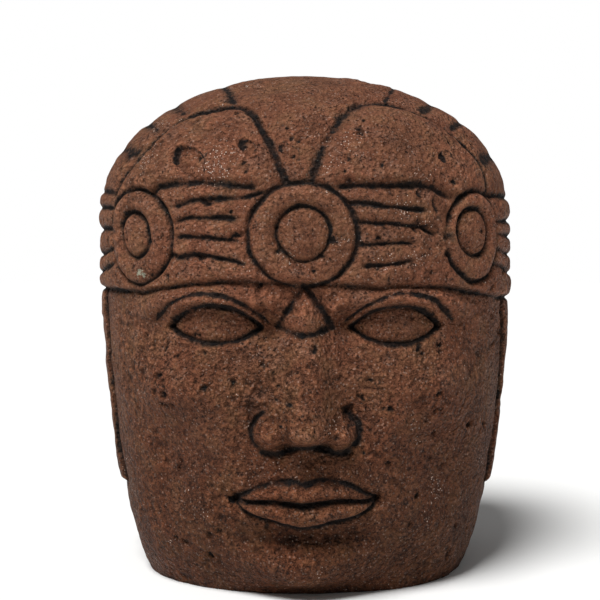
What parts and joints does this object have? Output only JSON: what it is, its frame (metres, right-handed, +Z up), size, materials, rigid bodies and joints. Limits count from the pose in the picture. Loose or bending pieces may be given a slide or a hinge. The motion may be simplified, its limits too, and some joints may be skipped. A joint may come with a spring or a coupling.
{
  "type": "olmec colossal head",
  "caption": "Free-standing boulder-shaped head with a corded headband, three ringed discs, a strapped cap and a calm face, cut flat below.",
  "frame": {"origin": "middle of the box on the plane of the flat underside", "axes": "+Z up; the face looks along -Y; +X is the right of a viewer who faces it"},
  "size_m": [1.3, 1.1, 1.52],
  "materials": {
    "weathered_stone": "reddish brown cast stone look, pitted, with near-black wash in the carved lines"
  },
  "bodies": {
    "root": {"head": "weathered_stone"}
  },
  "joints": []
}
